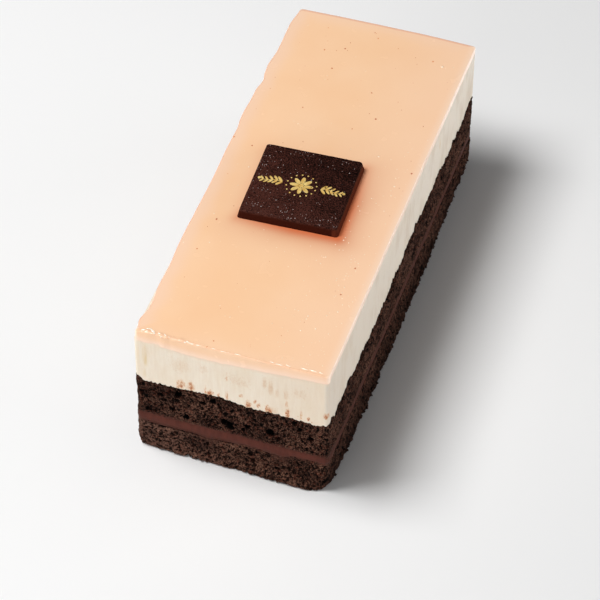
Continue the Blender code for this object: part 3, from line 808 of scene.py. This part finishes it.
def glazeWall(stage, number, place, out):
    # first up the cut sides, then over the rolled edge, then in over the top
    kind, share = stage
    shares = sideShares(out)
    end, right, far, left = shares
    wide = shared(glaze["rollWide"], shares) + end * along(glaze["softLeft"], place.x)
    high = shared(glaze["rollHigh"], shares)
    swell = along(glaze["leftEdge"], place.y) * left + faceWave(place, out)
    ripple = noiseAt(place.x / 2.2, place.y / 5, 5)
    swell += 0.22 * ripple * (0.5 * left + end * blendStep(-6, -20, place.x))
    top = cake["topLevel"]
    lowEdge = cake["glazeLevel"] - glazeRun(place)
    thick = 0.07 * end + 0.1 * left
    inward = share * (halfWidth - 2.5) if kind == "top" else 0.0
    if kind == "side":
        height = lowEdge + (top - high - lowEdge) * share
        proud = swell + thick * math.sin(math.pi * (0.25 + share * 0.5))
        spot = Vector((place.x, place.y, height)) + proud * out
    else:
        angle = math.pi / 2 * (share if kind == "roll" else 1)
        inset = wide * (1 - math.cos(angle))
        if kind == "top":
            inset += share * (halfWidth - 2.5 - wide)
        spot = drawnIn(place + (swell + thick * 0.7) * out, inset)
        spot.z = top - high + high * math.sin(angle)
        if kind == "top":
            spot.z += (glazeTop(spot.x, spot.y) - top) * blendStep(1, 4, inset)
        slope = out * math.cos(angle) + Vector((0, 0, math.sin(angle)))
        spot += slope * wetLumps(spot)
    soft = 0.5 * noiseAt(spot.x / 6, spot.y / 6, 1)
    cut = {"side": 1.0, "roll": 0.8, "top": 0.3 * (1 - blendStep(0, 2.5, inward))}[kind]
    rim = {"side": 1, "roll": left * math.sqrt(max(0.0, 1 - share)) + far, "top": 0}[kind]
    return spot, {
        "edge": (1 - blendStep(0, 5.5 + 3 * soft, inward)) * (0.2 * end + 0.8 * left + 0.5 * far) * (1 - right),
        "lip": 0.85 * (1 - blendStep(0.1, 2.8, spot.z - lowEdge)) * end * (kind == "side"),
        "cut": right * cut,
        "rim": rim * (left + far) * 0.9,
        "roll": end * (1 - blendStep(0, 0.4, inward) if kind == "top" else kind == "roll"),
        "side": right * (kind == "side" or kind == "roll" and 1 - share) + 0.25 * far * (kind != "top"),
    }


def makeGlaze():
    stages = [("side", step / glaze["sideRings"]) for step in range(glaze["sideRings"] + 1)]
    stages += [("roll", step / glaze["rollRings"]) for step in range(1, glaze["rollRings"] + 1)]
    stages += [("top", (step / glaze["topRings"]) ** 1.5) for step in range(1, glaze["topRings"] + 1)]
    body = layerBody(cutLine(glaze), stages, glazeWall, cake["glazeLevel"])
    keepPiece("glaze_skin", body, glazeFinish(), ["peach_glaze"], sharpAngle=50)


def speckFinish():
    finish = Finish("cocoa_speck")
    colour = finish.fade(finish.noise(9, detail=2), 0.4, 0.6, (224, 146, 98), (184, 92, 56))
    grain = finish.noise(0.2, detail=2)
    return finish.dress(
        {"Base Color": colour, "Roughness": finish.span(grain, 0.3, 0.7, 0.3, 0.5)}, {"Specular IOR Level": 0.4})


def dotGlaze(name, dots, flat, material):
    # small domes on the glaze, each (across, along, radius)
    body = bmesh.new()
    for across, onward, radius in dots:
        long = 1 + 0.5 * abs(noise.noise(Vector((across, onward, 4.5)) * 0.7))
        addGrain(body, 2, radius, (1 / long, long, flat), (across, onward, glazeTop(across, onward)))
    keepPiece(name, body, material)


def scatterDots():
    draw = random.Random(glaze["seed"])
    reach = plaque["half"] + 1.5

    def anyPlace():
        # anywhere but on the tablet
        while True:
            across, onward = draw.uniform(-26, 26.5), draw.uniform(-69, 68)
            if abs(across - plaque["place"][0]) > reach or abs(onward - plaque["place"][1]) > reach:
                return across, onward

    specks = list(glaze["specks"])
    for number in range(glaze["smallSpecks"]):
        specks.append((*anyPlace(), draw.uniform(0.08, 0.15)))
    bubbles = list(glaze["bubbles"])
    while len(bubbles) < glaze["smallBubbles"] + len(glaze["bubbles"]):
        across, onward = anyPlace()
        if draw.random() < 0.08 + 0.92 * blendStep(0, 20, across) * blendStep(25, -25, onward):
            bubbles.append((across, onward, draw.uniform(0.09, 0.19)))
    dotGlaze("glaze_specks", specks, 0.16, speckFinish())
    dotGlaze("glaze_bubbles", bubbles, 0.5, grainedFinish(
        "glaze_bubble", 0.3, (255, 224, 192), (255, 236, 212), (0.18, 0.3),
        {"Specular IOR Level": 0.4, "Coat Weight": 0.12, "Coat Roughness": 0.1}))


def makeGlints():
    # little rounded runs on the rolled edge, half sunk in it; their near-white colour is a painted highlight
    body = bmesh.new()
    for across, onward, halfLong, halfWide, turn in glaze["glints"]:
        made = bmesh.ops.create_icosphere(body, subdivisions=3, radius=1)["verts"]
        bmesh.ops.scale(body, vec=(halfLong, halfWide, 0.16 if across < 4 else 0.1), verts=made)
        for vert in made:
            vert.co.y += 0.12 * noiseAt(vert.co.x * 1.3, across, 2)
        bmesh.ops.rotate(body, matrix=Matrix.Rotation(math.radians(turn), 3, "Z"), verts=made)
        drop = cake["topLevel"] - 0.25 * blendStep(-71.2, -72.2, onward)
        bmesh.ops.translate(body, vec=(across, onward, drop), verts=made)
    keepPiece("glaze_glints", body, grainedFinish(
        "glint_highlight", 0.6, (255, 234, 210), (255, 246, 232), (0.1, 0.22),
        {"Specular IOR Level": 0.7, "Coat Weight": 0.6, "Coat Roughness": 0.05}))


makeGlaze()
makeGlints()
scatterDots()
print("glaze done")


def plaqueFinish():
    finish = Finish("moulded_chocolate")
    bloom = finish.noise(5)
    grain = finish.noise(0.42, detail=5, rough=0.8)
    fine = finish.noise(0.25, detail=2)
    across, onward, up = (finish.part(number) for number in range(3))
    onTop = finish.span(up, 0.0499, 0.0506)
    # duller and greyer towards the front left, dark and smooth at the right
    dull = finish.span(across * 0.8 + onward, -0.022, 0.012, 0.62, 0.0) + bloom * 0.8 - 0.35
    colour = finish.fade(grain + dull * 0.14, 0.5, 0.64, (8, 2, 1), (82, 45, 37))
    # painted light: the right side face is painted paler, where the light falls on it
    side = finish.fade(across, 0.0118, 0.0124, (56, 19, 9), (88, 39, 23))
    colour = finish.mix(onTop, side, colour)
    # painted glints: pale flecks on the top stand for light catching the rough chocolate
    flecks = finish.span(fine * 0.5 + grain * 0.5 + dull * 0.04, 0.6, 0.7, 0.0, 0.5) * onTop
    colour = finish.mix(flecks, colour, (112, 86, 82))
    return finish.dress(
        {"Base Color": colour, "Roughness": finish.span(grain * 0.6 + bloom * 0.5, 0.35, 0.75, 0.42, 0.62),
         "Normal": finish.bump(grain + fine * 0.4, 0.14)},
        {"Specular IOR Level": 0.03})


def plaqueRelief(across, onward):
    spot = Vector((across, onward, 0))
    return 0.07 * noise.noise(spot / 1.4) + 0.05 * noise.noise(spot / 0.55)


def onPlaque(body):
    # puts a body made about the origin, base at 0, in the tablet's place
    spot = Matrix.Translation((*plaque["place"], cake["topLevel"] - plaque["sunk"]))
    bmesh.ops.transform(body, matrix=spot @ Matrix.Rotation(math.radians(plaque["turn"]), 4, "Z"), verts=body.verts)


def makePlaque():
    half, high, edge, foot, draft = (plaque[name] for name in ("half", "height", "edge", "foot", "draft"))
    columns = roundedLine(half, half, plaque["corner"], plaque["grid"])
    stages = [(0.5, 0), (0.12, 0), (0.0, foot)]   # inset and height
    stages += [(draft * share, foot + (high - edge - foot) * share) for share in (0.25, 0.5, 0.75, 1)]
    stages += [(draft + edge * (1 - math.cos(angle)), high - edge + edge * math.sin(angle))
               for angle in (0.4, 0.8, 1.2, math.pi / 2)]
    inset = stages[-1][0] + 0.2
    while inset < half - 0.4:
        stages.append((inset, high))
        inset += plaque["grid"]
    rings = []
    for inset, height in stages:
        shrink = 1 - inset / half
        ring = []
        for place, out in columns:
            spot = Vector((place.x * shrink, place.y * shrink, height))
            if height > high * 0.9:
                spot.z += plaqueRelief(spot.x, spot.y) * blendStep(high * 0.9, high, height)
            elif height:
                spot += 0.06 * noise.noise(spot / 0.9) * out
            ring.append(spot)
        rings.append(ring)
    body = stackRings(rings)
    onPlaque(body)
    keepPiece("chocolate_tablet", body, plaqueFinish(), ["chocolate_plaque"], sharpAngle=50)


# a rosette with a leafy sprig to each side, in gold lustre; every size is half across and half along
ornament = {
    "thick": 0.05, "sunk": 0.01,
    # petals, heart and beads: how many, how far out, where between two the first is, whether turned outwards, size
    "rings": [(8, 2.1, 0, True, (0.62, 1.4)), (1, 0, 0, False, (0.72, 0.72)), (16, 4.4, 0.5, False, (0.24, 0.24))],
    "stem": (5.8, 12.3), "stemPrints": 24, "stemPrint": (0.09, 0.22), "sway": 0.35,
    "leaves": 5, "leaf": (0.42, 1.22), "leafLift": 0.85, "leafTurn": -42, "bud": (0.48, 0.48),
}


def goldFinish():
    finish = Finish("gold_lustre")
    grain = finish.noise(0.25, rough=0.65)
    wear = finish.noise(1.4)
    colour = finish.fade(wear * 0.6 + grain * 0.4, 0.38, 0.62, (224, 176, 84), (255, 226, 144))
    return finish.dress(
        {"Base Color": colour, "Roughness": finish.span(grain, 0.3, 0.7, 0.34, 0.52),
         "Normal": finish.bump(grain, 0.02)},
        {"Metallic": 0.3, "Specular IOR Level": 0.5})


def makeOrnament():
    body = bmesh.new()

    def stamp(place, turn, size):
        # one flat oval of the print
        verts = bmesh.ops.create_circle(body, cap_ends=True, segments=14, radius=1)["verts"]
        bmesh.ops.scale(body, vec=(*size, 1), verts=verts)
        bmesh.ops.rotate(body, matrix=Matrix.Rotation(turn, 3, "Z"), verts=verts)
        bmesh.ops.translate(body, vec=(*place, 0), verts=verts)

    for count, out, first, turned, size in ornament["rings"]:
        for number in range(count):
            angle = 2 * math.pi * (number + first) / count
            stamp((math.sin(angle) * out, math.cos(angle) * out), -angle if turned else 0, size)
    start, stop = ornament["stem"]
    for side in (-1, 1):
        for number in range(ornament["stemPrints"]):
            share = number / (ornament["stemPrints"] - 1)
            wave = share * math.pi * 2
            stamp((side * (start + (stop - start) * share), ornament["sway"] * math.sin(wave)),
                  math.radians(90 + side * 20 * math.cos(wave)), ornament["stemPrint"])
        for number in range(ornament["leaves"]):
            share = (number + 0.3) / ornament["leaves"]
            size = 1 - 0.45 * share
            for up in (-1, 1):
                across = side * (start + 0.4 + (stop - start) * share)
                lift = ornament["sway"] * math.sin(share * math.pi * 2) + up * ornament["leafLift"] * size
                stamp((across, lift), side * up * math.radians(ornament["leafTurn"]),
                      [half * size for half in ornament["leaf"]])
        stamp((side * (stop + 0.3), 0), 0, ornament["bud"])
    made = bmesh.ops.extrude_face_region(body, geom=body.faces[:] + body.edges[:] + body.verts[:])["geom"]
    raised = [item for item in made if isinstance(item, bmesh.types.BMVert)]
    bmesh.ops.translate(body, vec=(0, 0, ornament["thick"]), verts=raised)
    bmesh.ops.recalc_face_normals(body, faces=body.faces)
    for vert in body.verts:
        vert.co.z += plaque["height"] + plaqueRelief(vert.co.x, vert.co.y) - ornament["sunk"]
    onPlaque(body)
    keepPiece("gold_ornament", body, goldFinish(), sharpAngle=40)


# margin is how far it stays from the tablet's edge, larger the share of bigger grains and how many times bigger
glintsOnTablet = {"seed": 17, "count": 210, "radius": (0.06, 0.13), "margin": 0.8, "larger": (0.15, 1.5)}


# painted glints: pale grains strewn on the tablet, thickest near its edges, stand for light catching the rough
# chocolate
def strewTabletGlints():
    draw = random.Random(glintsOnTablet["seed"])
    body = bmesh.new()
    half = plaque["half"] - glintsOnTablet["margin"]
    often, larger = glintsOnTablet["larger"]
    kept = 0
    while kept < glintsOnTablet["count"]:
        across, onward = draw.uniform(-half, half), draw.uniform(-half, half)
        edgeward = max(-across, -onward, 0.85 * onward, 0.6 * across) / half
        gathered = blendStep(-0.1, 0.35, noiseAt(across / 3, onward / 3, 8))
        if draw.random() > (0.08 + 0.92 * max(0.0, edgeward) ** 3) * (0.3 + 0.7 * gathered):
            continue
        kept += 1
        radius = draw.uniform(*glintsOnTablet["radius"]) * (larger if draw.random() < often else 1)
        height = plaque["height"] + plaqueRelief(across, onward)
        addGrain(body, 1, radius, (1, draw.uniform(0.7, 1.6), 0.5), (across, onward, height))
    onPlaque(body)
    keepPiece("tablet_glints", body, grainedFinish(
        "tablet_glints", 0.8, (128, 104, 100), (206, 190, 186), (0.3, 0.5), {"Specular IOR Level": 0.5},
        sharpness=(0.35, 0.65)))


makePlaque()
makeOrnament()
strewTabletGlints()
print("plaque done")


shot = {
    "azimuth": 18.282, "elevation": 46.193, "roll": 0.336,   # degrees
    "distance": 821.9, "target": (-2.9, -3.0, 0), "lens": 163.416, "sensor": 36,   # mm
    "clip": (0.05, 20),   # m
}
# lamps: place and aim in metres, width and height, power
lamps = {
    "key": ((-0.386, -0.14, 0.87), (0, 0, 0.02), (0.42, 0.42), 8.4),
    "front_fill": ((-0.35, -1.2, 0.18), (0, 0, 0.02), (1.2, 0.3), 6.5),
    "right_fill": ((1.2, 0.35, 0.16), (0, 0, 0.02), (1.2, 0.26), 7.8),
}
skyStrength = 0.1
floorHalf = 3   # m


def placeCamera():
    camera = bpy.data.cameras.new("camera")
    camera.lens = shot["lens"]
    camera.sensor_width = shot["sensor"]
    camera.clip_start, camera.clip_end = shot["clip"]
    holder = inScene("camera", camera)
    azimuth = math.radians(shot["azimuth"])
    elevation = math.radians(shot["elevation"])
    level = math.cos(elevation)
    away = Vector((math.sin(azimuth) * level, -math.cos(azimuth) * level, math.sin(elevation)))
    turned = Matrix.Rotation(math.radians(shot["roll"]), 4, "Z")
    place = Matrix.Translation((Vector(shot["target"]) + away * shot["distance"]) * 0.001)
    holder.matrix_world = place @ away.to_track_quat("Z", "Y").to_matrix().to_4x4() @ turned
    bpy.context.scene.camera = holder


def layFloor():
    body = bmesh.new()
    bmesh.ops.create_grid(body, x_segments=1, y_segments=1, size=floorHalf)
    material = Finish("floor").dress(
        {}, {"Base Color": (0.9, 0.9, 0.9, 1), "Roughness": 0.6, "Specular IOR Level": 0.1})
    floor = inScene("floor", meshOf("floor", body, material))


def hangLamps():
    for name, (place, aim, size, power) in lamps.items():
        lamp = bpy.data.lights.new(name, "AREA")
        lamp.shape = "RECTANGLE"
        lamp.size, lamp.size_y = size
        lamp.energy = power
        holder = inScene(name, lamp)
        holder.location = place
        holder.rotation_euler = (Vector(place) - Vector(aim)).to_track_quat("Z", "Y").to_euler()
    sky = bpy.data.worlds.new("studio")
    sky.use_nodes = True
    for name, value in (("Color", (1, 1, 1, 1)), ("Strength", skyStrength)):
        sky.node_tree.nodes["Background"].inputs[name].default_value = value
    bpy.context.scene.world = sky
    bpy.context.scene.view_settings.view_transform = "Standard"


placeCamera()
layFloor()
hangLamps()
print("scene done")
